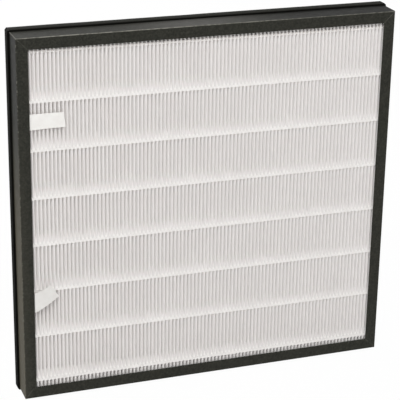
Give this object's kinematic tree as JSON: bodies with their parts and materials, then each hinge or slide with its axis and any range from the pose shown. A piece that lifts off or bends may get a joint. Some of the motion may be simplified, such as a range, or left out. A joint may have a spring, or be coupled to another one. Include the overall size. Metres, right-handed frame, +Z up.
{
  "type": "hepa filter panel",
  "caption": "Pleated glass-fibre air filter panel in a dark folded board frame, with hot-melt separator beads, a foam gasket round its rear edge and white tape pull tabs.",
  "frame": {"origin": "centre of the overall outline in X and Y, at its base in Z", "axes": "+X across the panel, to the right as seen from its front; +Y from the front to the gasket side; +Z up"},
  "size_m": [0.4004, 0.0414, 0.3864],
  "materials": {
    "board": "matte, fine fibre texture, scuffed along its folds",
    "foam": "matte closed-cell foam",
    "media": "matte glass-fibre paper",
    "bead_glue": "satin hot-melt glue",
    "end_glue": "satin poured adhesive",
    "tab_tape": "matte non-woven tape"
  },
  "bodies": {
    "root": {"frame_top_rail": "board", "frame_bottom_rail": "board", "frame_left_rail": "board", "frame_right_rail": "board", "gasket_top": "foam", "gasket_bottom": "foam", "gasket_left": "foam", "gasket_right": "foam", "pleated_media": "media", "bead_front_1": "bead_glue", "bead_front_2": "bead_glue", "bead_front_3": "bead_glue", "bead_front_4": "bead_glue", "bead_front_5": "bead_glue", "bead_front_6": "bead_glue", "bead_front_7": "bead_glue", "bead_front_8": "bead_glue", "bead_rear_1": "bead_glue", "bead_rear_2": "bead_glue", "bead_rear_3": "bead_glue", "bead_rear_4": "bead_glue", "bead_rear_5": "bead_glue", "bead_rear_6": "bead_glue", "bead_rear_7": "bead_glue", "bead_rear_8": "bead_glue", "seal_top": "end_glue", "seal_bottom": "end_glue", "seal_left": "end_glue", "seal_right": "end_glue", "pull_tab_upper": "tab_tape", "pull_tab_lower": "tab_tape"}
  },
  "joints": []
}
